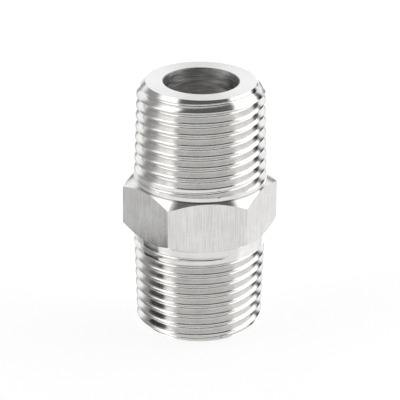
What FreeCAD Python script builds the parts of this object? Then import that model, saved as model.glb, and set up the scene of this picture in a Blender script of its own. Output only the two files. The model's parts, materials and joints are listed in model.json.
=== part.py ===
"""Hex nipple: a short pipe fitting with a taper thread on each end and a hexagon between them.

The nipple is turned, bored and threaded in one piece from a hexagonal bar, so the model is one
solid. It stands on its lower end: the origin is the centre of the lower end face, +Z runs up the
bore, and a flat of the hexagon faces -Y. Lengths are in millimetres and angles in degrees.
"""
import FreeCAD, Part
import math
import os

# Whole fitting
OVERALL_LENGTH = 41.7
BORE_DIAMETER = 12.0
BORE_EDGE_BREAK = 0.15        # small chamfer where the bore meets each end face
END_CHAMFER = 1.4             # 45 degree chamfer that leads the thread in

# Hexagon in the middle
HEX_ACROSS_FLATS = 21.7
HEX_CORNER_RADIUS = 0.1
HEX_CORNER_EDGE = 6.2         # length of the upright corner edge that the chamfers leave
HEX_CHAMFER_ANGLE = 32.0      # slope of the chamfer cones, measured from level

# Tool relief that parts the upper collar from the hexagon's chamfer
RELIEF_DEPTH = 0.25
RELIEF_WIDTH = 0.3            # from the shoulder up to the collar's edge

# Taper pipe thread, size 1/2: rounded 55 degree form, taper 1 in 16 on the diameter
THREADS_PER_INCH = 14
THREAD_ANGLE = 55.0
TAPER = 1.0 / 16.0
GAUGE_DIAMETER = 20.955       # major diameter in the gauge plane
GAUGE_LENGTH = 8.2            # from the end face to the gauge plane
TAPER_LENGTH = 16.0           # from the end face to where the bar goes on straight
RUN_OUT_TURNS = 0.5           # the groove fades out over this part of a turn

# Plain collar from the hexagon's shoulder to where each groove fades out, and the angle of that place
UPPER_COLLAR_LENGTH = 0.76
UPPER_THREAD_STOP_ANGLE = 143.0
LOWER_COLLAR_LENGTH = 1.0
LOWER_THREAD_STOP_ANGLE = -33.0

# Cutting tools reach this far past the metal they cut
TOOL_CLEARANCE = 0.3
POINTS_PER_TURN = 24

PITCH = 25.4 / THREADS_PER_INCH
FLANK_SLOPE = math.tan(math.radians(THREAD_ANGLE / 2))
SHARP_DEPTH = PITCH / (2 * FLANK_SLOPE)
THREAD_DEPTH = SHARP_DEPTH * 2 / 3      # a sixth is taken off the crest and off the root
ROOT_WIDTH = PITCH / 6
HALF_LENGTH = OVERALL_LENGTH / 2
SHARP_CORNER = HEX_ACROSS_FLATS / math.sqrt(3)
ROUNDED_CORNER = SHARP_CORNER - HEX_CORNER_RADIUS * (2 / math.sqrt(3) - 1)
CHAMFER_SLOPE = math.tan(math.radians(HEX_CHAMFER_ANGLE))
AXIS = FreeCAD.Vector(0, 0, 1)
MIDDLE = FreeCAD.Vector(0, 0, 0)


def crest_radius(height):
    """Radius over the thread crests at a height from the middle of the hexagon."""
    tapered = min(HALF_LENGTH - abs(height), TAPER_LENGTH)
    return (GAUGE_DIAMETER + (tapered - GAUGE_LENGTH) * TAPER) / 2


def shoulder_height():
    """Height where the hexagon's chamfer cone meets the collar, from the middle of the hexagon."""
    return HEX_CORNER_EDGE / 2 + (ROUNDED_CORNER - crest_radius(0)) * CHAMFER_SLOPE


def revolve(outline):
    """Turn a closed outline of (radius, height) points about the axis."""
    points = [FreeCAD.Vector(radius, 0, height) for radius, height in outline]
    face = Part.Face(Part.makePolygon(points + points[:1]))
    return face.revolve(MIDDLE, AXIS, 360)


def turned_body():
    """Both tapered ends, chamfered, and the straight middle as one turned bar."""
    taper_height = HALF_LENGTH - TAPER_LENGTH
    chamfer_height = HALF_LENGTH - END_CHAMFER
    chamfer_radius = crest_radius(chamfer_height)
    upper = [
        (crest_radius(taper_height), taper_height),
        (chamfer_radius, chamfer_height),
        (chamfer_radius - END_CHAMFER, HALF_LENGTH),
        (0, HALF_LENGTH),
    ]
    lower = [(radius, -height) for radius, height in reversed(upper)]
    return revolve(upper + lower)


def relief_ring():
    """The ring that the tool relief takes off the bar; the hexagon fills its lower part again."""
    edge_height = shoulder_height() + RELIEF_WIDTH
    neck_radius = crest_radius(edge_height) - RELIEF_DEPTH
    reach = crest_radius(0) + TOOL_CLEARANCE
    return revolve([(neck_radius, 0), (reach, 0), (reach, edge_height), (neck_radius, edge_height)])


def hexagon():
    """The hexagonal middle with rounded corners and a chamfer cone on each side."""
    corner_height = HEX_CORNER_EDGE / 2
    top = corner_height + ROUNDED_CORNER * CHAMFER_SLOPE
    corners = []
    for step in range(6):
        angle = math.radians(60 * step)
        corner = FreeCAD.Vector(SHARP_CORNER * math.cos(angle), SHARP_CORNER * math.sin(angle), -top)
        corners.append(corner)
    prism = Part.Face(Part.makePolygon(corners + corners[:1])).extrude(AXIS * (2 * top))
    uprights = [edge for edge in prism.Edges if abs(edge.tangentAt(edge.FirstParameter).z) > 0.9]
    prism = prism.makeFillet(HEX_CORNER_RADIUS, uprights)
    reach = ROUNDED_CORNER + TOOL_CLEARANCE
    edge_height = corner_height - TOOL_CLEARANCE * CHAMFER_SLOPE
    cones = revolve([(0, top), (reach, edge_height), (reach, -edge_height), (0, -top)])
    return prism.common(cones)


def bore_cutter():
    """The through bore with a small chamfer at each end face."""
    radius = BORE_DIAMETER / 2
    past_end = HALF_LENGTH + TOOL_CLEARANCE
    upper = [
        (radius, HALF_LENGTH - BORE_EDGE_BREAK),
        (radius + BORE_EDGE_BREAK + TOOL_CLEARANCE, past_end),
        (0, past_end),
    ]
    lower = [(r, -height) for r, height in reversed(upper)]
    return revolve(upper + lower)


def groove_point(turn, stop, outward, rise):
    """A point of the lower thread groove, as (radius, height), some turns before it fades out."""
    height = -stop - turn * PITCH
    faded = max(0.0, 1 - turn / RUN_OUT_TURNS)
    root = crest_radius(height) - THREAD_DEPTH * (1 - faded) + TOOL_CLEARANCE * faded
    return root + outward, height + rise


def helix_edge(first_turn, last_turn, stop, outward, rise):
    """A smooth edge along the groove from one count of turns before its end to another."""
    steps = max(4, round(abs(last_turn - first_turn) * POINTS_PER_TURN))
    points = []
    for step in range(steps + 1):
        turn = first_turn + (last_turn - first_turn) * step / steps
        radius, height = groove_point(turn, stop, outward, rise)
        angle = -2 * math.pi * turn
        points.append(FreeCAD.Vector(radius * math.cos(angle), radius * math.sin(angle), height))
    curve = Part.BSplineCurve()
    curve.interpolate(points)
    return curve.toShape()


def end_cap(turn, stop, corners):
    """The flat face that closes the groove cutter at one of its ends."""
    points = []
    angle = -2 * math.pi * turn
    for outward, rise in corners:
        radius, height = groove_point(turn, stop, outward, rise)
        points.append(FreeCAD.Vector(radius * math.cos(angle), radius * math.sin(angle), height))
    return Part.Face(Part.makePolygon(points + points[:1]))


def groove_cutter(stop, stop_angle):
    """The helical groove of the lower end: it starts past the end face and fades out at its stop."""
    reach = THREAD_DEPTH + TOOL_CLEARANCE
    half_root = ROOT_WIDTH / 2
    half_mouth = half_root + reach * FLANK_SLOPE
    corners = [(0, -half_root), (0, half_root), (reach, half_mouth), (reach, -half_mouth)]
    threaded_turns = (HALF_LENGTH - stop + half_mouth + TOOL_CLEARANCE) / PITCH
    marks = [0, RUN_OUT_TURNS]
    while marks[-1] < threaded_turns:
        marks.append(marks[-1] + 1)
    faces = [end_cap(marks[0], stop, corners), end_cap(marks[-1], stop, corners)]
    for near, far in zip(marks, marks[1:]):
        edges = [helix_edge(far, near, stop, outward, rise) for outward, rise in corners]
        for edge, next_edge in zip(edges, edges[1:] + edges[:1]):
            faces.append(Part.makeRuledSurface(edge, next_edge))
    shell = Part.Shell(faces)
    shell.sewShape()
    cutter = Part.Solid(shell)
    if cutter.Volume < 0:
        cutter.reverse()
    cutter.rotate(MIDDLE, AXIS, stop_angle)
    return cutter


def upper_groove_cutter():
    """The groove of the upper end: the lower one turned end over end about the X axis."""
    cutter = groove_cutter(shoulder_height() + UPPER_COLLAR_LENGTH, -UPPER_THREAD_STOP_ANGLE)
    cutter.rotate(MIDDLE, FreeCAD.Vector(1, 0, 0), 180)
    return cutter


def nipple_body():
    """The whole nipple, standing on its lower end face."""
    body = turned_body().cut(relief_ring()).fuse(hexagon())
    body = body.cut(bore_cutter())
    body = body.cut(groove_cutter(shoulder_height() + LOWER_COLLAR_LENGTH, LOWER_THREAD_STOP_ANGLE))
    body = body.cut(upper_groove_cutter())
    body.translate(AXIS * HALF_LENGTH)
    return body


def write_node(name, shape):
    """Write one named piece as a STEP file, and say what it holds."""
    solids = shape.Solids
    print(name, "solids", len(solids), "valid", shape.isValid(), "volume", round(shape.Volume, 2))
    print("  box", shape.BoundBox)
    (solids[0] if len(solids) == 1 else shape).exportStep(os.path.join("parts", name + ".step"))


os.makedirs("parts", exist_ok=True)
write_node("nipple_body", nipple_body())
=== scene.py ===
"""Looks of a hex nipple: bright turned stainless steel with a taper pipe thread on each end.

The nipple is one piece, so its surface is one closed mesh. A Geometry Nodes tree winds it from
bands that meet ring to ring: two threads, the hexagon, the end faces and the bore. Each band gets
the finish that its machining leaves. Lengths are in metres and angles in radians.
"""
from collections.abc import Mapping, Sequence
from dataclasses import dataclass, field
from enum import Enum
import json
import logging
import math

import bmesh
import bpy
from mathutils import Matrix, Vector


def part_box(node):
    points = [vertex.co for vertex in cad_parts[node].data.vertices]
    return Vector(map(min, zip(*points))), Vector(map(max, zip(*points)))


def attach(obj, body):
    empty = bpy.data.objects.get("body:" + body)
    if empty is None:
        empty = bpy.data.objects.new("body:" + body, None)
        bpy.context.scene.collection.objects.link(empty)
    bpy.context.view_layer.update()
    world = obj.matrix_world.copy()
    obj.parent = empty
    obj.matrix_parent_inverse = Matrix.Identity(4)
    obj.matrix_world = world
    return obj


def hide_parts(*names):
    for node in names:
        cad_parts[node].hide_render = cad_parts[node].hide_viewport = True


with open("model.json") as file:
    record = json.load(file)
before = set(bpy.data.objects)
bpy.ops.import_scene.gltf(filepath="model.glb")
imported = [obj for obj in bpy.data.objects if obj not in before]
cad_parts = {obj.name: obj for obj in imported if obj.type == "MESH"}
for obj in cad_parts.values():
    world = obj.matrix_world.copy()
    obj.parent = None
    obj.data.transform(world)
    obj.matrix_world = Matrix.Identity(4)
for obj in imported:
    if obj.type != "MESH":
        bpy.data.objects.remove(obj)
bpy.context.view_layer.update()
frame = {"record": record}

NODE = "nipple_body"
MM = 0.001
LOG = logging.getLogger("hex_nipple")


class Side(Enum):
    """Which end of the nipple a thread is on, as the sign of its height from the middle."""

    UPPER = 1
    LOWER = -1


class Zone(Enum):
    """The machining that made a stretch of the surface, as the number stored on its faces."""

    THREAD = 0
    HEXAGON = 1
    FACE = 2
    BORE = 3
    CHAMFER = 4
    RIM = 5


# ---------------------------------------------------------------------------------------------
# Node trees


class Signal:
    """One output socket. Python's operators on it add Math nodes to its tree."""

    def __init__(self, tree: "Tree", socket: bpy.types.NodeSocket) -> None:
        """Wrap a socket.

        Args:
            tree: The tree that the socket's node is in.
            socket: The output socket.
        """
        self.tree = tree
        self.socket = socket

    def __add__(self, other: "Signal | float") -> "Signal":
        """Self plus other."""
        return self.tree.math("ADD", self, other)

    def __radd__(self, other: float) -> "Signal":
        """Other plus self."""
        return self.tree.math("ADD", other, self)

    def __sub__(self, other: "Signal | float") -> "Signal":
        """Self minus other."""
        return self.tree.math("SUBTRACT", self, other)

    def __rsub__(self, other: float) -> "Signal":
        """Other minus self."""
        return self.tree.math("SUBTRACT", other, self)

    def __mul__(self, other: "Signal | float") -> "Signal":
        """Self times other."""
        return self.tree.math("MULTIPLY", self, other)

    def __rmul__(self, other: float) -> "Signal":
        """Other times self."""
        return self.tree.math("MULTIPLY", other, self)

    def __truediv__(self, other: "Signal | float") -> "Signal":
        """Self divided by other."""
        return self.tree.math("DIVIDE", self, other)

    def __rtruediv__(self, other: float) -> "Signal":
        """Other divided by self."""
        return self.tree.math("DIVIDE", other, self)

    def __neg__(self) -> "Signal":
        """Self with its sign changed."""
        return self.tree.math("MULTIPLY", self, -1.0)

    def __lt__(self, other: "Signal | float") -> "Signal":
        """1 where self is less than other, else 0."""
        return self.tree.math("LESS_THAN", self, other)

    def __gt__(self, other: "Signal | float") -> "Signal":
        """1 where self is greater than other, else 0."""
        return self.tree.math("GREATER_THAN", self, other)


class Tree:
    """Adds nodes to a node tree: one method for any node, and short names for the maths."""

    def __init__(self, nodes: bpy.types.NodeTree) -> None:
        """Start on an existing tree.

        Args:
            nodes: The tree to add to.
        """
        self.nodes = nodes

    def node(
        self,
        kind: str,
        settings: Mapping[str, object] | None = None,
        inputs: Mapping[str | int, object] | None = None,
    ) -> bpy.types.Node:
        """Add one node.

        Args:
            kind: The node's type name.
            settings: The node's own properties, which are set before its sockets.
            inputs: Values or signals by socket identifier, name or number.

        Returns:
            The new node.
        """
        new = self.nodes.nodes.new(kind)
        for name, value in (settings or {}).items():
            setattr(new, name, value)
        for key, value in (inputs or {}).items():
            socket = self.find(new.inputs, key)
            if isinstance(value, Signal):
                self.nodes.links.new(value.socket, socket)
            else:
                socket.default_value = value
        return new

    @staticmethod
    def find(sockets: bpy.types.bpy_prop_collection, key: str | int) -> bpy.types.NodeSocket:
        """Find a socket.

        Args:
            sockets: A node's inputs or outputs.
            key: The socket's identifier, name or number.

        Returns:
            The socket.
        """
        if isinstance(key, int):
            return sockets[key]
        matches = [socket for socket in sockets if socket.identifier == key]
        return matches[0] if matches else sockets[key]

    def out(self, node: bpy.types.Node, key: str | int = 0) -> Signal:
        """A node's output as a signal."""
        return Signal(self, self.find(node.outputs, key))

    def math(self, operation: str, *values: "Signal | float") -> Signal:
        """A Math node's result."""
        inputs = dict(enumerate(values))
        return self.out(self.node("ShaderNodeMath", {"operation": operation}, inputs))

    def clamp(self, value: Signal, low: float = 0.0, high: float = 1.0) -> Signal:
        """A value held between two limits."""
        return self.math("MAXIMUM", self.math("MINIMUM", value, high), low)

    def choose(self, test: Signal, when_one: "Signal | float", when_zero: "Signal | float") -> Signal:
        """One value where a test is 1, and another where it is 0."""
        return when_zero + test * (when_one - when_zero)

    def vector(self, x: "Signal | float", y: "Signal | float", z: "Signal | float") -> Signal:
        """Three numbers as one vector."""
        return self.out(self.node("ShaderNodeCombineXYZ", inputs={0: x, 1: y, 2: z}))

    def ramp(self, value: Signal, start: float, end: float) -> Signal:
        """A smooth step.

        Args:
            value: What the step follows.
            start: The value up to which it is 0.
            end: The value from which it is 1.

        Returns:
            The step.
        """
        settings = {"interpolation_type": "SMOOTHSTEP"}
        inputs = {"Value": value, "From Min": start, "From Max": end}
        return self.out(self.node("ShaderNodeMapRange", settings, inputs), "Result")


# ---------------------------------------------------------------------------------------------
# The nipple's surface


@dataclass(frozen=True)
class NippleSizes:
    """Driving sizes of the nipple. Heights are measured from the middle of the hexagon.

    Each groove fades out over its run-out turns, where the cutter is drawn out of the metal and a
    little past its surface. The stop angles are where it has faded out, anticlockwise from +X.
    """

    half_length: float
    half_flats: float
    bore_radius: float
    edge_break: float = 0.15 * MM
    end_chamfer: float = 1.4 * MM
    corner_radius: float = 0.1 * MM
    corner_height: float = 3.1 * MM
    chamfer_slope: float = math.tan(math.radians(32.0))
    gauge_radius: float = 20.955 / 2 * MM
    gauge_length: float = 8.2 * MM
    taper_length: float = 16.0 * MM
    taper_slope: float = 1 / 32
    pitch: float = 25.4 / 14 * MM
    run_out_turns: float = 0.5
    run_out_lift: float = 0.3 * MM
    relief_depth: float = 0.25 * MM
    relief_width: float = 0.3 * MM
    upper_collar: float = 0.76 * MM
    upper_stop_angle: float = math.radians(143.0)
    lower_collar: float = 1.0 * MM
    lower_stop_angle: float = math.radians(-33.0)

    @classmethod
    def from_frame(cls, node: str) -> "NippleSizes":
        """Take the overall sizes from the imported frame.

        Args:
            node: The nipple's node in the frame.

        Returns:
            The sizes, with the frame's length, flats and bore.
        """
        low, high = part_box(node)
        bore = next(mount for mount in frame["record"]["mounts"] if mount["name"] == "bore")
        return cls(
            half_length=(high.z - low.z) / 2,
            half_flats=(high.y - low.y) / 2,
            bore_radius=bore["dims"]["r_mm"] * MM,
        )


@dataclass(frozen=True)
class Ring:
    """A line round the nipple that a band starts or ends at: its radius and its height."""

    radius: Signal
    height: Signal


@dataclass(frozen=True)
class Strip:
    """A flat grid of points before it is wrapped round the axis, and the place of each point."""

    rows: int
    row: Signal
    column: Signal
    side_angle: Signal
    angle: Signal


@dataclass
class NippleSurface:
    """The whole skin of the nipple, wound by one Geometry Nodes tree from bands of quads.

    Each band is a strip of quads that runs once round the axis. All strips have the same columns,
    which stand close together at the hexagon's corners, so that neighbouring bands weld into one.
    """

    sizes: NippleSizes
    finishes: Mapping[Zone, bpy.types.Material]
    # Columns of quads from one corner of the hexagon to the next, and over half a corner's rounding
    side_columns: int = 32
    corner_columns: int = 2
    # Rows of points in each straight band
    edge_rows: int = 2
    cone_rows: int = 5
    face_rows: int = 6
    flat_rows: int = 7
    bore_rows: int = 24
    # Rows of quads over half a rounded crest or root, and down a flank
    arc_rows: int = 5
    flank_rows: int = 2
    # Turns of rows in a threaded end, and how many of them lie between the groove and the hexagon
    thread_turns: int = 12
    lead_turns: int = 2
    thread_angle: float = math.radians(55.0)
    weld: float = 0.001 * MM
    crease: float = math.radians(20.0)
    tree: Tree = field(init=False)
    size: dict[str, Signal] = field(init=False)

    def build(self, name: str) -> bpy.types.Object:
        """Make the nipple's mesh.

        Args:
            name: The new object's name.

        Returns:
            A plain mesh object at the origin, closed and with its faces outwards.
        """
        group = bpy.data.node_groups.new("Nipple surface", "GeometryNodeTree")
        self.tree = Tree(group)
        identifiers = self.declare_sizes(group)
        self.connect(group)
        seed = bpy.data.objects.new(name + "_seed", bpy.data.meshes.new(name + "_seed"))
        bpy.context.scene.collection.objects.link(seed)
        modifier = seed.modifiers.new("surface", "NODES")
        modifier.node_group = group
        for label, identifier in identifiers.items():
            modifier[identifier] = getattr(self.sizes, label)
        evaluated = seed.evaluated_get(bpy.context.evaluated_depsgraph_get())
        mesh = bpy.data.meshes.new_from_object(evaluated)
        bpy.data.objects.remove(seed)
        self.finish_mesh(mesh)
        piece = bpy.data.objects.new(name, mesh)
        bpy.context.scene.collection.objects.link(piece)
        return piece

    def declare_sizes(self, group: bpy.types.NodeTree) -> dict[str, str]:
        """Give the tree one named input for each size.

        Args:
            group: The tree.

        Returns:
            The identifier of each size's socket.
        """
        identifiers = {}
        for label in NippleSizes.__dataclass_fields__:
            title = label.replace("_", " ").capitalize()
            socket = group.interface.new_socket(title, in_out="INPUT", socket_type="NodeSocketFloat")
            identifiers[label] = socket.identifier
        group.interface.new_socket("Surface", in_out="OUTPUT", socket_type="NodeSocketGeometry")
        entry = self.tree.node("NodeGroupInput")
        self.size = {label: self.tree.out(entry, key) for label, key in identifiers.items()}
        return identifiers

    def connect(self, group: bpy.types.NodeTree) -> None:
        """Join every band, weld them into one skin and give each zone its finish.

        Args:
            group: The tree.
        """
        tree = self.tree
        join = tree.node("GeometryNodeJoinGeometry")
        for band in self.bands():
            group.links.new(band.socket, join.inputs[0])
        lift = tree.vector(0.0, 0.0, self.size["half_length"])
        inputs = {"Geometry": tree.out(join), "Translation": lift}
        lifted = tree.out(tree.node("GeometryNodeTransform", inputs=inputs))
        inputs = {"Geometry": lifted, "Distance": self.weld}
        welded = tree.out(tree.node("GeometryNodeMergeByDistance", inputs=inputs))
        result = tree.out(tree.node("GeometryNodeRealizeInstances", inputs={"Geometry": welded}))
        settings = {"data_type": "FLOAT"}
        zone = tree.out(tree.node("GeometryNodeInputNamedAttribute", settings, {"Name": "zone"}))
        for which, material in self.finishes.items():
            test = tree.math("COMPARE", zone, float(which.value), 0.5)
            inputs = {"Geometry": result, "Selection": test, "Material": material}
            result = tree.out(tree.node("GeometryNodeSetMaterial", inputs=inputs))
        tree.node("NodeGroupOutput", inputs={0: result})

    def finish_mesh(self, mesh: bpy.types.Mesh) -> None:
        """Point the faces outwards, and shade them smooth up to the creases.

        Args:
            mesh: The welded skin.
        """
        shell = bmesh.new()
        shell.from_mesh(mesh)
        bmesh.ops.recalc_face_normals(shell, faces=shell.faces)
        open_edges = sum(not edge.is_manifold for edge in shell.edges)
        triangles = sum(len(face.verts) - 2 for face in shell.faces)
        LOG.info("surface: %d triangles, %d open edges", triangles, open_edges)
        shell.to_mesh(mesh)
        shell.free()
        mesh.shade_smooth()
        mesh.set_sharp_from_angle(angle=self.crease)

    # The bands, from the outside of the threads to the bore

    def bands(self) -> list[Signal]:
        """Every band of the skin."""
        ends = [self.thread(side) for side in Side]
        return [*ends, *self.relief(), *self.hexagon(), *self.inside()]

    def inside(self) -> list[Signal]:
        """The two end faces, their edge breaks and the bore between them.

        Returns:
            The five bands.
        """
        size = self.size
        height = size["half_length"]
        rim = size["bore_radius"] + size["edge_break"]
        edge = height - size["edge_break"]
        bands = []
        for side in Side:
            sign = float(side.value)
            outer = Ring(self.face_radius(), height * sign)
            broken = Ring(rim, height * sign)
            bore = Ring(size["bore_radius"], edge * sign)
            bands.append(self.loft(self.strip(self.face_rows), outer, broken, Zone.FACE))
            bands.append(self.loft(self.strip(self.edge_rows), broken, bore, Zone.RIM))
        top = Ring(size["bore_radius"], edge)
        bottom = Ring(size["bore_radius"], -edge)
        bands.append(self.loft(self.strip(self.bore_rows), top, bottom, Zone.BORE))
        return bands

    def hexagon(self) -> list[Signal]:
        """The six flats, and the chamfer cone on each side of them.

        Returns:
            The three bands.
        """
        strip = self.strip(self.flat_rows)
        upper, lower = (self.corner_arc(strip, side) for side in Side)
        bands = [self.loft(strip, upper, lower, Zone.HEXAGON)]
        for side in Side:
            strip = self.strip(self.cone_rows)
            foot = self.collar_foot(side)[-1]
            bands.append(self.loft(strip, foot, self.corner_arc(strip, side), Zone.CHAMFER))
        return bands

    def relief(self) -> list[Signal]:
        """The tool relief under the upper collar: its roof and its neck.

        Returns:
            The two bands.
        """
        rings = self.collar_foot(Side.UPPER)
        pairs = zip(rings, rings[1:])
        return [self.loft(self.strip(self.edge_rows), start, end, Zone.CHAMFER) for start, end in pairs]

    def collar_foot(self, side: Side) -> list[Ring]:
        """Rings from the edge of a collar to the chamfer cone beside it.

        Args:
            side: Which end.

        Returns:
            One ring, or three where the tool relief parts the collar from the cone.
        """
        sign = float(side.value)
        edge = self.collar_edge(side)
        collar = self.crest_radius(edge)
        rings = [Ring(collar, edge * sign)]
        if side is Side.UPPER:
            neck = collar - self.size["relief_depth"]
            rings += [Ring(neck, edge), Ring(neck, self.cone_height(neck))]
        return rings

    def corner_arc(self, strip: Strip, side: Side) -> Ring:
        """The scalloped edge where the chamfer cone cuts the hexagon's flats."""
        outline = self.hexagon_radius(strip)
        return Ring(outline, self.cone_height(outline) * float(side.value))

    # Sizes worked out from the driving ones

    def crest_radius(self, height: Signal) -> Signal:
        """Radius over the thread crests.

        Args:
            height: Where it is measured, above or below the middle.

        Returns:
            The radius, which tapers towards the end face.
        """
        size = self.size
        tapered = self.tree.math("MINIMUM", size["half_length"] - height, size["taper_length"])
        return size["gauge_radius"] + (tapered - size["gauge_length"]) * size["taper_slope"]

    def face_radius(self) -> Signal:
        """Outer radius of an end face, inside its chamfer."""
        chamfer = self.size["end_chamfer"]
        return self.crest_radius(self.size["half_length"] - chamfer) - chamfer

    def corner_centre(self) -> Signal:
        """Distance from the axis to the centre of a corner's rounding."""
        return (self.size["half_flats"] - self.size["corner_radius"]) / math.cos(math.pi / 6)

    def cone_height(self, radius: Signal) -> Signal:
        """Height of the hexagon's chamfer cone at a distance from the axis."""
        reach = self.corner_centre() + self.size["corner_radius"] - radius
        return self.size["corner_height"] + reach * self.size["chamfer_slope"]

    def shoulder_height(self) -> Signal:
        """Height where the cones would meet the collars if there were no tool relief."""
        return self.cone_height(self.crest_radius(0.0 * self.size["half_length"]))

    def collar_edge(self, side: Side) -> Signal:
        """Height of a collar's edge beside the hexagon."""
        shoulder = self.shoulder_height()
        return shoulder + self.size["relief_width"] if side is Side.UPPER else shoulder

    def hexagon_radius(self, strip: Strip) -> Signal:
        """Distance from the axis to the hexagon's outline.

        Args:
            strip: The strip whose columns give the directions.

        Returns:
            The distance, to a flat or to the rounding of a corner.
        """
        tree = self.tree
        near = tree.math("MINIMUM", strip.side_angle, math.pi / 3 - strip.side_angle)
        flat = self.size["half_flats"] / tree.math("COSINE", strip.side_angle - math.pi / 6)
        centre = self.corner_centre()
        radius = self.size["corner_radius"]
        across = centre * tree.math("SINE", near)
        rounded = centre * tree.math("COSINE", near) + self.root(radius * radius - across * across)
        step = tree.math("FLOORED_MODULO", strip.column, float(self.side_columns))
        from_corner = tree.math("MINIMUM", step, float(self.side_columns) - step)
        return tree.choose(from_corner < self.corner_columns + 0.5, rounded, flat)

    def root(self, value: Signal) -> Signal:
        """Square root of a value, or 0 where it is negative."""
        return self.tree.math("SQRT", self.tree.math("MAXIMUM", value, 0.0))

    # Strips of quads, with rows round the nipple and columns up it

    @property
    def columns(self) -> int:
        """Number of columns of quads round the nipple."""
        return 6 * self.side_columns

    def strip(self, rows: int) -> Strip:
        """Work out where each point of a strip stands.

        Args:
            rows: Number of rows of points in the strip.

        Returns:
            The strip, with fields that follow each point's index.
        """
        tree = self.tree
        index = tree.out(tree.node("GeometryNodeInputIndex"))
        column = tree.math("FLOOR", (index + 0.5) / float(rows))
        side = tree.math("FLOOR", column / float(self.side_columns))
        side_angle = self.side_angle(column - side * float(self.side_columns))
        angle = side * (math.pi / 3) + side_angle
        return Strip(rows, index - column * float(rows), column, side_angle, angle)

    def side_angle(self, step: Signal) -> Signal:
        """Angle from the last corner of the hexagon.

        Args:
            step: Number of columns from that corner.

        Returns:
            The angle, which grows slowly across the rounding of a corner and evenly between.
        """
        tree = self.tree
        side = float(self.side_columns)
        near = float(self.corner_columns)
        half_chord = self.size["corner_radius"] / 2
        reach = self.corner_centre() + self.size["corner_radius"] * math.cos(math.pi / 6)
        corner = tree.math("ARCTANGENT", half_chord / reach)
        first = tree.clamp(step / near) * corner
        middle = tree.clamp((step - near) / (side - 2 * near)) * (math.pi / 3 - corner * 2.0)
        last = tree.clamp((step - (side - near)) / near) * corner
        return first + middle + last

    def loft(self, strip: Strip, start: Ring, end: Ring, zone: Zone) -> Signal:
        """Wrap a strip straight across from one ring to another.

        Args:
            strip: The strip.
            start: The ring at its first row.
            end: The ring at its last row.
            zone: The machining that is stored on the faces.

        Returns:
            The band's geometry.
        """
        share = strip.row / float(strip.rows - 1)
        radius = start.radius + (end.radius - start.radius) * share
        height = start.height + (end.height - start.height) * share
        return self.wrap(strip, Ring(radius, height), zone)

    def wrap(self, strip: Strip, place: Ring, zone: Zone) -> Signal:
        """Wrap a strip round the axis.

        Args:
            strip: The strip.
            place: Each point's distance from the axis, and its height from the middle.
            zone: The machining that is stored on the faces.

        Returns:
            The band's geometry.
        """
        tree = self.tree
        counts = {"Vertices X": self.columns + 1, "Vertices Y": strip.rows}
        grid = tree.out(tree.node("GeometryNodeMeshGrid", inputs=counts))
        east = place.radius * tree.math("COSINE", strip.angle)
        north = place.radius * tree.math("SINE", strip.angle)
        inputs = {"Geometry": grid, "Position": tree.vector(east, north, place.height)}
        wrapped = tree.out(tree.node("GeometryNodeSetPosition", inputs=inputs))
        settings = {"data_type": "FLOAT", "domain": "FACE"}
        inputs = {"Geometry": wrapped, "Name": "zone", "Value": float(zone.value)}
        return tree.out(tree.node("GeometryNodeStoreNamedAttribute", settings, inputs))

    # Threads

    @property
    def turn_rows(self) -> int:
        """Rows in one pitch of thread: two flanks, and a rounded crest and root between them."""
        return 2 * (2 * self.arc_rows + self.flank_rows)

    def thread(self, side: Side) -> Signal:
        """One threaded end, from its collar's edge beside the hexagon to the end face.

        The rows of the strip climb with the thread, so its crest and root each stay on a row. Rows
        that would run past the collar or the end face stop there and weld together.

        Args:
            side: Which end.

        Returns:
            The band's geometry.
        """
        tree = self.tree
        size = self.size
        stop, stop_angle = self.thread_start(side)
        strip = self.strip(self.thread_turns * self.turn_rows + 1)
        half = self.turn_rows // 2
        passes = tree.math("FLOOR", (strip.row + half) / float(self.turn_rows))
        local = strip.row - passes * float(self.turn_rows)
        turned = (strip.angle - stop_angle) * (side.value / math.tau)
        turn = turned + passes - float(self.lead_turns)
        root_height = stop + turn * size["pitch"]
        offset = tree.math("SIGN", local) * self.profile_rise(tree.math("ABSOLUTE", local))
        height = tree.math("MAXIMUM", root_height + offset, self.collar_edge(side))
        height = tree.math("MINIMUM", height, size["half_length"])
        faded = tree.clamp(1.0 - turn / size["run_out_turns"])
        lift = faded * (self.thread_depth() + size["run_out_lift"])
        height = self.snap_to_edge(height, root_height, lift)
        radius = tree.math("MINIMUM", self.blank(height), self.groove(height, root_height, lift))
        return self.wrap(strip, Ring(radius, height * float(side.value)), Zone.THREAD)

    def thread_start(self, side: Side) -> tuple[Signal, Signal]:
        """Height and angle where the groove of one end fades out."""
        end = side.name.lower()
        return self.shoulder_height() + self.size[end + "_collar"], self.size[end + "_stop_angle"]

    def thread_depth(self) -> Signal:
        """Depth of the groove, from crest to root."""
        sharp = self.size["pitch"] / (2 * math.tan(self.thread_angle / 2))
        return sharp * (2 / 3)

    def arc_radius(self) -> Signal:
        """Radius of the rounded crests and roots.

        Returns:
            The radius that takes a sixth off the sharp depth.
        """
        sine = math.sin(self.thread_angle / 2)
        sharp_share = sine / (1 - sine) / 6
        return self.size["pitch"] * (sharp_share / (2 * math.tan(self.thread_angle / 2)))

    def profile_rise(self, step: Signal) -> Signal:
        """Height from the root to a row of the thread's profile.

        Args:
            step: Number of rows from the root.

        Returns:
            The height, which is half a pitch at the crest.
        """
        tree = self.tree
        lean = math.pi / 2 - self.thread_angle / 2
        arc = float(self.arc_rows)
        half = float(self.turn_rows // 2)
        radius = self.arc_radius()
        arc_rise = radius * math.sin(lean)
        root = radius * tree.math("SINE", tree.clamp(step / arc) * lean)
        flank = tree.clamp((step - arc) / (half - 2 * arc)) * (self.size["pitch"] / 2 - arc_rise * 2.0)
        crest = arc_rise - radius * tree.math("SINE", tree.clamp((half - step) / arc) * lean)
        return root + flank + crest

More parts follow.
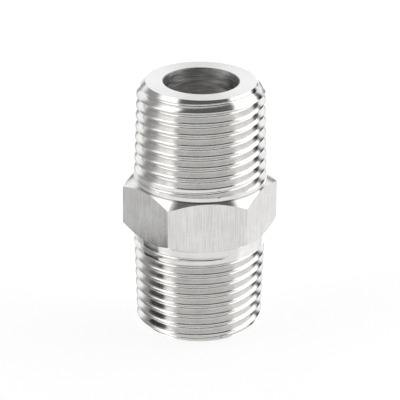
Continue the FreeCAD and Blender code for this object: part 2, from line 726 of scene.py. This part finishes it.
    def groove(self, height: Signal, root_height: Signal, lift: Signal) -> Signal:
        """Radius of the thread's profile.

        Args:
            height: Where it is measured.
            root_height: Height of the nearest root.
            lift: How far the cutter has been drawn out.

        Returns:
            The radius, which passes the crest's where the cutter is clear of the metal.
        """
        tree = self.tree
        half_pitch = self.size["pitch"] / 2
        across = tree.math("MINIMUM", tree.math("ABSOLUTE", height - root_height), half_pitch)
        radius = self.arc_radius()
        arc_rise = radius * math.cos(self.thread_angle / 2)
        depth = self.thread_depth()
        from_crest = half_pitch - across
        in_root = depth - radius + self.root(radius * radius - across * across)
        on_crest = radius - self.root(radius * radius - from_crest * from_crest)
        arc_sag = radius * (1 - math.sin(self.thread_angle / 2))
        on_flank = depth - arc_sag - (across - arc_rise) / math.tan(self.thread_angle / 2)
        past_root = tree.choose(from_crest < arc_rise, on_crest, on_flank)
        below = tree.choose(across < arc_rise, in_root, past_root)
        return self.crest_radius(height) - below + lift

    def blank(self, height: Signal) -> Signal:
        """Radius of the turned end before it is threaded, with its end chamfer."""
        chamfered = self.face_radius() + (self.size["half_length"] - height)
        return self.tree.math("MINIMUM", self.crest_radius(height), chamfered)

    def snap_to_edge(self, height: Signal, root_height: Signal, lift: Signal) -> Signal:
        """Move points onto the edge where the groove breaks through the turned surface.

        Args:
            height: Each point's height.
            root_height: Height of the nearest root.
            lift: How far the cutter has been drawn out.

        Returns:
            The height, moved by less than half a row where the edge passes between two rows.
        """
        tree = self.tree
        cut = self.blank(height) - self.groove(height, root_height, lift)
        index = tree.out(tree.node("GeometryNodeInputIndex"))
        moved = height
        for step in (1.0, -1.0):
            next_height = self.at_index(height, index + step)
            next_cut = self.at_index(cut, index + step)
            share = cut / (cut - next_cut)
            crossed = (cut * next_cut < 0.0) * (share < 0.5)
            moved = moved + crossed * share * (next_height - height)
        return moved

    def at_index(self, value: Signal, index: Signal) -> Signal:
        """A value at another point of the strip.

        Args:
            value: The value.
            index: The other point's index.

        Returns:
            The value there.
        """
        settings = {"data_type": "FLOAT", "domain": "POINT"}
        inputs = {"Value": value, "Index": index}
        return self.tree.out(self.tree.node("GeometryNodeFieldAtIndex", settings, inputs))


# ---------------------------------------------------------------------------------------------
# Finishes


MOTTLE_SIZE = 2.0 * MM     # of the metal's broad clouding
MOTTLE_BLUR = 0.6          # how much that changes the gloss, beside the tool marks
ROUND_RADIUS = 10.0 * MM   # distance from the axis at which round marks have their full length
RADIUS_WEIGHT = 1.3        # how fast round marks change outwards, beside how fast they change upwards
NOISE_CONTRAST = 2.2       # stretches the noise's usual range to 0 to 1
GLOSSIEST = 0.05           # the least roughness


class Grain(Enum):
    """Which way the tool marks of a finish run."""

    ROUND = "round the axis, as a lathe leaves them"
    UPRIGHT = "along the axis, as a drawn bar has them"


@dataclass(frozen=True)
class SteelFinish:
    """Bare stainless steel with the marks of one way of machining it.

    The tones say how much the marks and the mottle change the colour, as a share of its
    brightness, and the streak says how much they change the roughness.
    """

    label: str
    grain: Grain
    brightness: float
    roughness: float
    streak: float
    mark_width: float
    mark_length: float
    mark_depth: float
    mark_tone: float
    mottle_tone: float
    anisotropy: float = 0.7
    warmth: float = 0.02

    def build(self) -> bpy.types.Material:
        """Make the material.

        Returns:
            A metal material on Object coordinates, so it follows the mesh in every view.
        """
        material = bpy.data.materials.new(self.label)
        material.use_nodes = True
        material.node_tree.nodes.clear()
        tree = Tree(material.node_tree)
        marks = self.marks(tree)
        mottle = self.mottle(tree)
        tone = (marks - 0.5) * self.mark_tone + (mottle - 0.5) * self.mottle_tone
        colour = self.steel_colour(tree, tone)
        mottled = (mottle - 0.5) * (self.streak * MOTTLE_BLUR)
        blur = (marks - 0.5) * self.streak + mottled + self.roughness
        bump_inputs = {"Height": marks, "Distance": self.mark_depth, "Strength": 1.0}
        bump = tree.out(tree.node("ShaderNodeBump", inputs=bump_inputs))
        turns = 0.25 if self.grain is Grain.ROUND else 0.0
        inputs = {
            "Base Color": colour,
            "Metallic": 1.0,
            "Roughness": tree.clamp(blur, GLOSSIEST, 1.0),
            "Anisotropic": self.anisotropy,
            "Anisotropic Rotation": turns,
            "Normal": bump,
        }
        shader = tree.node("ShaderNodeBsdfPrincipled", inputs=inputs)
        tree.node("ShaderNodeOutputMaterial", inputs={"Surface": tree.out(shader)})
        return material

    def steel_colour(self, tree: Tree, tone: Signal) -> Signal:
        """Steel grey, a little warm, that varies about the finish's brightness.

        Args:
            tree: The material's tree.
            tone: How much lighter than the finish's brightness, as a share of it.

        Returns:
            The colour.
        """
        double = self.brightness * 2.0
        light = (double * (1.0 + self.warmth / 2), double, double * (1.0 - self.warmth), 1.0)
        inputs = {"Factor_Float": tone * 0.5 + 0.5, "A_Color": (0.0, 0.0, 0.0, 1.0), "B_Color": light}
        return tree.out(tree.node("ShaderNodeMix", {"data_type": "RGBA"}, inputs), "Result_Color")

    def marks(self, tree: Tree) -> Signal:
        """Fine tool marks: noise drawn out along the grain.

        Args:
            tree: The material's tree.

        Returns:
            The marks, from 0 to 1.
        """
        x, y, z = self.place(tree)
        across = 1.0 / self.mark_width
        along = 1.0 / self.mark_length
        if self.grain is Grain.ROUND:
            radius = tree.math("SQRT", x * x + y * y)
            around = (ROUND_RADIUS * along) / radius
            where = tree.vector(x * around, y * around, (z + radius * RADIUS_WEIGHT) * across)
        else:
            where = tree.vector(x * across, y * across, z * along)
        return self.noise(tree, where, scale=1.0, detail=3.0)

    def mottle(self, tree: Tree) -> Signal:
        """Broad faint clouding of the metal."""
        x, y, z = self.place(tree)
        return self.noise(tree, tree.vector(x, y, z), scale=1.0 / MOTTLE_SIZE, detail=2.0)

    def place(self, tree: Tree) -> tuple[Signal, Signal, Signal]:
        """Where each point is.

        Args:
            tree: The material's tree.

        Returns:
            The three Object coordinates, in metres.
        """
        where = tree.out(tree.node("ShaderNodeTexCoord"), "Object")
        split = tree.node("ShaderNodeSeparateXYZ", inputs={0: where})
        return tree.out(split, 0), tree.out(split, 1), tree.out(split, 2)

    def noise(self, tree: Tree, where: Signal, scale: float, detail: float) -> Signal:
        """Smooth noise, stretched so that it fills 0 to 1.

        Args:
            tree: The material's tree.
            where: Where the noise is read.
            scale: The noise's scale.
            detail: How many finer layers it has.

        Returns:
            The noise.
        """
        inputs = {"Vector": where, "Scale": scale, "Detail": detail}
        noise = tree.out(tree.node("ShaderNodeTexNoise", {"noise_dimensions": "3D"}, inputs), 0)
        return tree.clamp((noise - 0.5) * NOISE_CONTRAST + 0.5)


FINISHES = {
    Zone.THREAD: SteelFinish(
        label="turned_thread",
        grain=Grain.ROUND,
        brightness=0.77,
        roughness=0.17,
        streak=0.04,
        mark_width=0.17 * MM,
        mark_length=8.0 * MM,
        mark_depth=0.0015 * MM,
        mark_tone=0.10,
        mottle_tone=0.08,
    ),
    Zone.HEXAGON: SteelFinish(
        label="drawn_flat",
        grain=Grain.UPRIGHT,
        brightness=0.70,
        roughness=0.27,
        streak=0.10,
        mark_width=0.16 * MM,
        mark_length=5.0 * MM,
        mark_depth=0.005 * MM,
        mark_tone=0.30,
        mottle_tone=0.12,
    ),
    Zone.FACE: SteelFinish(
        label="faced_end",
        grain=Grain.ROUND,
        brightness=0.80,
        roughness=0.28,
        streak=0.05,
        mark_width=0.25 * MM,
        mark_length=8.0 * MM,
        mark_depth=0.002 * MM,
        mark_tone=0.05,
        mottle_tone=0.04,
        warmth=0.0,
    ),
    Zone.BORE: SteelFinish(
        label="drilled_bore",
        grain=Grain.ROUND,
        brightness=0.66,
        roughness=0.38,
        streak=0.15,
        mark_width=0.2 * MM,
        mark_length=4.0 * MM,
        mark_depth=0.02 * MM,
        mark_tone=0.9,
        mottle_tone=0.25,
    ),
    # The rim's low brightness is painted shade: the edge break is the same steel as the bore, made
    # darker so that its highlight stays dim.
    Zone.RIM: SteelFinish(
        label="deburred_rim_painted_shade",
        grain=Grain.ROUND,
        brightness=0.30,
        roughness=0.50,
        streak=0.05,
        mark_width=0.25 * MM,
        mark_length=4.0 * MM,
        mark_depth=0.002 * MM,
        mark_tone=0.2,
        mottle_tone=0.1,
        anisotropy=0.2,
    ),
    Zone.CHAMFER: SteelFinish(
        label="turned_chamfer",
        grain=Grain.ROUND,
        brightness=0.73,
        roughness=0.17,
        streak=0.04,
        mark_width=0.17 * MM,
        mark_length=8.0 * MM,
        mark_depth=0.0015 * MM,
        mark_tone=0.08,
        mottle_tone=0.06,
    ),
}


# ---------------------------------------------------------------------------------------------
# Studio


@dataclass(frozen=True)
class Panel:
    """One upright panel in the side of the light tent, as far as the next one.

    Its start is the bearing, in degrees, of the upright metal that mirrors it to the camera: 0 faces
    the camera and 90 faces right. So each panel lights one stripe up the whole nipple. It has one
    brightness above its split, one below it and one far below it, where 1 is white.
    """

    start: float
    above: float
    below: float
    far_below: float
    softness: float = 3.0
    split: float = 0.0
    split_softness: float = 0.05
    far_split: tuple[float, float] = (-0.6, -0.48)

    def brightness(self, tree: Tree, up: Signal) -> Signal:
        """The panel's brightness in each direction.

        Args:
            tree: The world's tree.
            up: How steeply the direction rises, as the sine of its angle.

        Returns:
            The brightness.
        """
        lower = tree.choose(tree.ramp(up, *self.far_split), self.below, self.far_below)
        upper = tree.ramp(up, self.split - self.split_softness, self.split + self.split_softness)
        return tree.choose(upper, self.above, lower)


@dataclass(frozen=True)
class BackWall:
    """The wall behind the nipple, with a dark band along its foot where the table ends.

    It takes over from the panels in directions that run mostly away from the camera. Below the
    horizon its brightness differs between the left and the right.
    """

    reach: tuple[float, float] = (0.7, 0.78)
    above: float = 1.12
    below_left: float = 0.9
    below_right: float = 1.4
    band: float = 0.3
    band_foot: tuple[float, float] = (0.0, 0.04)
    band_top: tuple[float, float] = (0.12, 0.22)
    horizon_softness: float = 0.05
    middle_softness: float = 0.3

    def brightness(self, tree: Tree, across: Signal, up: Signal) -> Signal:
        """The wall's brightness in each direction.

        Args:
            tree: The world's tree.
            across: How far the direction points to the camera's right, as a sine.
            up: How steeply it rises, as a sine.

        Returns:
            The brightness, where 1 is white.
        """
        band = tree.ramp(up, *self.band_foot) * (1.0 - tree.ramp(up, *self.band_top))
        right = tree.ramp(across, -self.middle_softness, self.middle_softness)
        below = tree.choose(right, self.below_right, self.below_left)
        raised = tree.ramp(up, -self.horizon_softness, self.horizon_softness)
        return tree.choose(band, self.band, tree.choose(raised, self.above, below))


@dataclass(frozen=True)
class Flag:
    """A black card lying beside the nipple, which only reflections see.

    Its corners are in millimetres from the axis: to the right of the camera's line of sight, and
    along it.
    """

    corners: Sequence[tuple[float, float]] = (
        (-8.0, -8.8),
        (-44.5, -17.0),
        (-44.5, 11.5),
        (-14.0, -2.0),
    )
    height: float = 0.05 * MM
    glow: float = 0.01

    def build(self, azimuth: float) -> None:
        """Lay the card just above the floor.

        Args:
            azimuth: The camera's azimuth, which the card is turned by.
        """
        cosine, sine = math.cos(azimuth) * MM, math.sin(azimuth) * MM
        places = [(x * cosine - y * sine, x * sine + y * cosine, self.height) for x, y in self.corners]
        mesh = bpy.data.meshes.new("flag")
        mesh.from_pydata(places, [], [range(len(places))])
        card = bpy.data.objects.new("flag", mesh)
        bpy.context.scene.collection.objects.link(card)
        mesh.materials.append(self.felt())
        for ray in ("camera", "diffuse", "shadow", "transmission", "volume_scatter"):
            setattr(card, "visible_" + ray, False)

    def felt(self) -> bpy.types.Material:
        """Make the card's material.

        Returns:
            Black felt.
        """
        material = bpy.data.materials.new("black_felt")
        material.use_nodes = True
        material.node_tree.nodes.clear()
        tree = Tree(material.node_tree)
        felt = tree.node("ShaderNodeEmission", inputs={"Strength": self.glow})
        tree.node("ShaderNodeOutputMaterial", inputs={"Surface": tree.out(felt)})
        return material


@dataclass(frozen=True)
class Floor:
    """White paper on glass, lit from below too, that takes the nipple's soft shadow.

    The metal's own reflections see it only close to the axis, down the bore. Further out it is clear
    to them, and they see the lower half of the tent.
    """

    size: float = 6.0
    paper: float = 0.3
    glow: float = 0.8
    mirrored_radius: float = 8.0 * MM

    def build(self) -> None:
        """Lay the floor under the nipple."""
        half = self.size / 2
        corners = [(-half, -half, 0.0), (half, -half, 0.0), (half, half, 0.0), (-half, half, 0.0)]
        mesh = bpy.data.meshes.new("floor")
        mesh.from_pydata(corners, [], [(0, 1, 2, 3)])
        floor = bpy.data.objects.new("floor", mesh)
        bpy.context.scene.collection.objects.link(floor)
        mesh.materials.append(self.paint())

    def paint(self) -> bpy.types.Material:
        """Make the floor's material.

        Returns:
            Glowing white paper, clear to reflections outside the mirrored radius.
        """
        material = bpy.data.materials.new("white_floor")
        material.use_nodes = True
        material.node_tree.nodes.clear()
        tree = Tree(material.node_tree)
        path = tree.node("ShaderNodeLightPath")
        grey = (self.paper, self.paper, self.paper, 1.0)
        paper = tree.node("ShaderNodeBsdfDiffuse", inputs={"Color": grey})
        glow = tree.node("ShaderNodeEmission", inputs={"Strength": self.glow})
        both = tree.node("ShaderNodeAddShader", inputs={0: tree.out(paper), 1: tree.out(glow)})
        place = tree.out(tree.node("ShaderNodeTexCoord"), "Object")
        split = tree.node("ShaderNodeSeparateXYZ", inputs={0: place})
        x, y = tree.out(split, 0), tree.out(split, 1)
        outside = tree.math("SQRT", x * x + y * y) > self.mirrored_radius
        clear = tree.out(path, "Is Glossy Ray") * outside
        glass = tree.node("ShaderNodeBsdfTransparent")
        inputs = {0: clear, 1: tree.out(both), 2: tree.out(glass)}
        surface = tree.node("ShaderNodeMixShader", inputs=inputs)
        tree.node("ShaderNodeOutputMaterial", inputs={"Surface": tree.out(surface)})
        return material


@dataclass(frozen=True)
class Studio:
    """A light tent round the nipple, its floor and one black card.

    The tent's sides have two bright strips with a dimmer middle between them, and a dark gap outside
    each strip. The azimuth and the elevation are the camera's.
    """

    azimuth: float
    elevation: float
    panels: Sequence[Panel] = (
        Panel(-90.0, above=1.1, below=1.1, far_below=1.1),
        Panel(-70.0, above=0.36, below=0.6, far_below=0.45, softness=7.0, split=-0.33),
        Panel(-46.5, above=1.3, below=1.0, far_below=1.65, softness=5.0),
        Panel(-39.0, above=1.7, below=1.0, far_below=1.75),
        Panel(-26.5, above=1.7, below=0.95, far_below=0.68),
        Panel(-23.5, above=0.12, below=0.95, far_below=0.68),
        Panel(30.5, above=1.7, below=0.95, far_below=0.68),
        Panel(36.0, above=1.7, below=1.07, far_below=1.85),
        Panel(63.0, above=0.0, below=1.01, far_below=1.3, split=-0.33),
        Panel(77.5, above=1.1, below=1.01, far_below=1.3),
    )
    back_wall: BackWall = BackWall()
    floor: Floor = Floor()
    flag: Flag = Flag()

    def build(self) -> None:
        """Light the world, lay the floor and lay the card on it."""
        self.light_world()
        self.floor.build()
        self.flag.build(self.azimuth)

    def light_world(self) -> None:
        """White to the camera, and the tent to everything else."""
        world = bpy.data.worlds.new("light_tent")
        bpy.context.scene.world = world
        world.use_nodes = True
        world.node_tree.nodes.clear()
        tree = Tree(world.node_tree)
        seen = tree.out(tree.node("ShaderNodeLightPath"), "Is Camera Ray")
        inputs = {"Color": (1.0, 1.0, 1.0, 1.0), "Strength": tree.choose(seen, 1.0, self.tent(tree))}
        background = tree.node("ShaderNodeBackground", inputs=inputs)
        tree.node("ShaderNodeOutputWorld", inputs={"Surface": tree.out(background)})

    def tent(self, tree: Tree) -> Signal:
        """Brightness of the tent in each direction.

        Args:
            tree: The world's tree.

        Returns:
            The brightness, where 1 is white.
        """
        where = tree.out(tree.node("ShaderNodeTexCoord"), "Generated")
        split = tree.node("ShaderNodeSeparateXYZ", inputs={0: where})
        east, north, up = (tree.out(split, axis) for axis in range(3))
        cosine, sine = math.cos(self.azimuth), math.sin(self.azimuth)
        across = east * cosine + north * sine
        along = north * cosine - east * sine
        bearing = tree.math("ARCTAN2", across, math.cos(self.elevation) - along) * math.degrees(1.0)
        sides = self.panels_in_turn(tree, bearing, up)
        wall = self.back_wall.brightness(tree, across, up)
        return tree.choose(tree.ramp(along, *self.back_wall.reach), wall, sides)

    def panels_in_turn(self, tree: Tree, bearing: Signal, up: Signal) -> Signal:
        """Step from each panel's brightness to the next, with soft edges.

        Args:
            tree: The world's tree.
            bearing: Bearing of the upright metal that mirrors each direction to the camera.
            up: How steeply the direction rises, as the sine of its angle.

        Returns:
            The brightness, where 1 is white.
        """
        levels = [panel.brightness(tree, up) for panel in self.panels]
        total = levels[0]
        for panel, last, level in zip(self.panels[1:], levels, levels[1:]):
            edge = tree.ramp(bearing, panel.start - panel.softness, panel.start + panel.softness)
            total = total + edge * (level - last)
        return total


@dataclass(frozen=True)
class Camera:
    """The camera, aimed at a point on the nipple's axis. Its lens and sensor are in millimetres."""

    azimuth: float = math.radians(-6.58)
    elevation: float = math.radians(23.44)
    roll: float = math.radians(0.5575)
    distance: float = 350.7 * MM
    aim_height: float = 21.11 * MM
    lens: float = 194.8
    sensor: float = 36.0
    clip_start: float = 10.0 * MM

    def build(self) -> None:
        """Place the camera and make it the scene's own."""
        level = math.cos(self.elevation)
        east = math.sin(self.azimuth) * level
        north = -math.cos(self.azimuth) * level
        back = Vector((east, north, math.sin(self.elevation)))
        right = Vector((0.0, 0.0, 1.0)).cross(back).normalized()
        up = back.cross(right)
        tilted = Matrix.Rotation(self.roll, 3, back)
        axes = [tilted @ right, tilted @ up, back]
        data = bpy.data.cameras.new("camera")
        data.lens = self.lens
        data.sensor_width = self.sensor
        data.clip_start = self.clip_start
        camera = bpy.data.objects.new("camera", data)
        bpy.context.scene.collection.objects.link(camera)
        turn = Matrix(axes).transposed().to_4x4()
        aim = Vector((0.0, 0.0, self.aim_height))
        camera.matrix_world = Matrix.Translation(aim + back * self.distance) @ turn
        bpy.context.scene.camera = camera


def main() -> None:
    """Build the nipple's surface, its finishes, the studio and the camera."""
    logging.basicConfig(level=logging.INFO, format="%(name)s: %(message)s")
    bpy.context.scene.view_settings.view_transform = "Standard"
    camera = Camera()
    camera.build()
    Studio(camera.azimuth, camera.elevation).build()
    finishes = {zone: finish.build() for zone, finish in FINISHES.items()}
    surface = NippleSurface(NippleSizes.from_frame(NODE), finishes)
    piece = surface.build("nipple_skin")
    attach(piece, "root")
    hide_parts(NODE)
    LOG.info("%s: %d faces", piece.name, len(piece.data.polygons))


if __name__ == "__main__":
    main()
